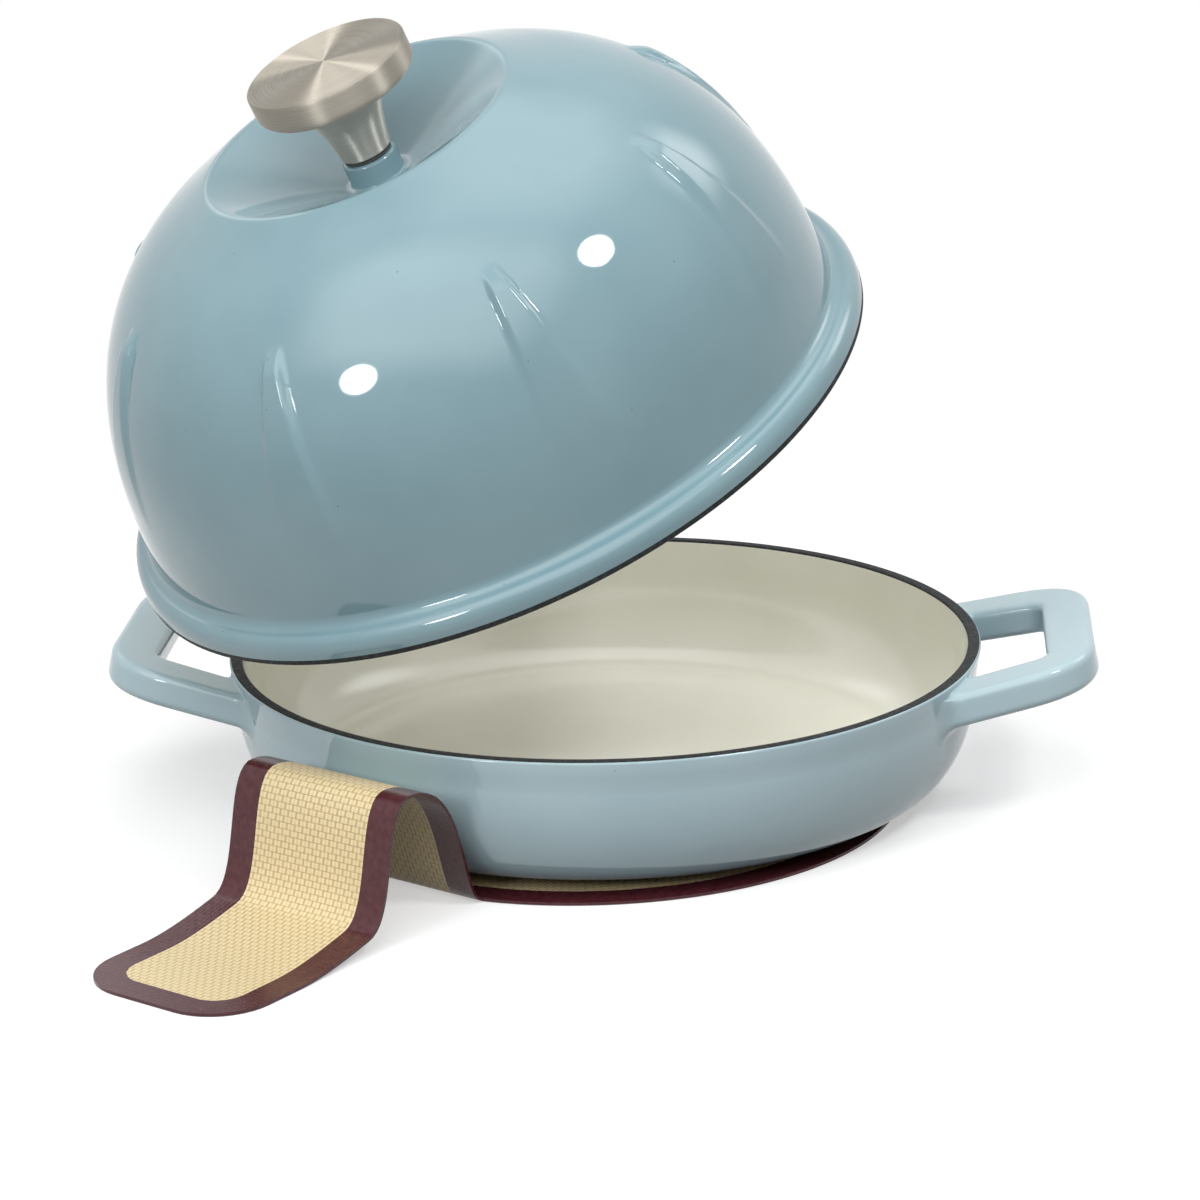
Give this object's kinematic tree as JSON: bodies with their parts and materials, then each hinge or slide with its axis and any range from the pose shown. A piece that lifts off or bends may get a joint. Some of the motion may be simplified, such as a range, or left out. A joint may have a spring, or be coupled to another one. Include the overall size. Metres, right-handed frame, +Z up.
{
  "type": "bread pot",
  "caption": "Shallow enamelled cast iron bread pan with loop handles, a ridged dome lid lifted by a steel knob, and a woven bread sling drawn out from under the pan.",
  "frame": {"origin": "on the table under the pan's axis, on the underside of the sling's disc", "axes": "+X along the two handles, +Y to the back away from the tipped lid's low side, +Z up"},
  "size_m": [0.331, 0.3355, 0.2686],
  "materials": {
    "enamelled_iron": "gloss blue-grey enamel outside, cream enamel inside, matt black rims",
    "brushed_steel": "turned steel with a round brushed grain",
    "brass": "bare, hidden in the stem",
    "dark_fibre": "matt dark washer",
    "woven_silicone": "cream woven sheet with a burgundy silicone border"
  },
  "bodies": {
    "pan": {"base_pan": "enamelled_iron"},
    "lid": {"dome_lid": "enamelled_iron", "knob_gasket": "dark_fibre", "knob_stem": "brushed_steel", "knob_insert": "brass", "knob_cap": "brushed_steel", "flat_washer": "brushed_steel", "spring_washer": "brushed_steel", "knob_screw": "brushed_steel"},
    "sling": {"bread_sling": "woven_silicone"}
  },
  "joints": [
    {"name": "lid_tip", "type": "hinge", "parent": "pan", "child": "lid", "pos_m": [-0.15975, -0.12526, 0.0025], "axis": [0.617, -0.7869, 0], "range_deg": [-25.5, 45]},
    {"name": "sling_pull", "type": "slide", "parent": "pan", "child": "sling", "axis": [-0.5388, -0.8425, 0], "range_m": [0, 0.4]}
  ]
}
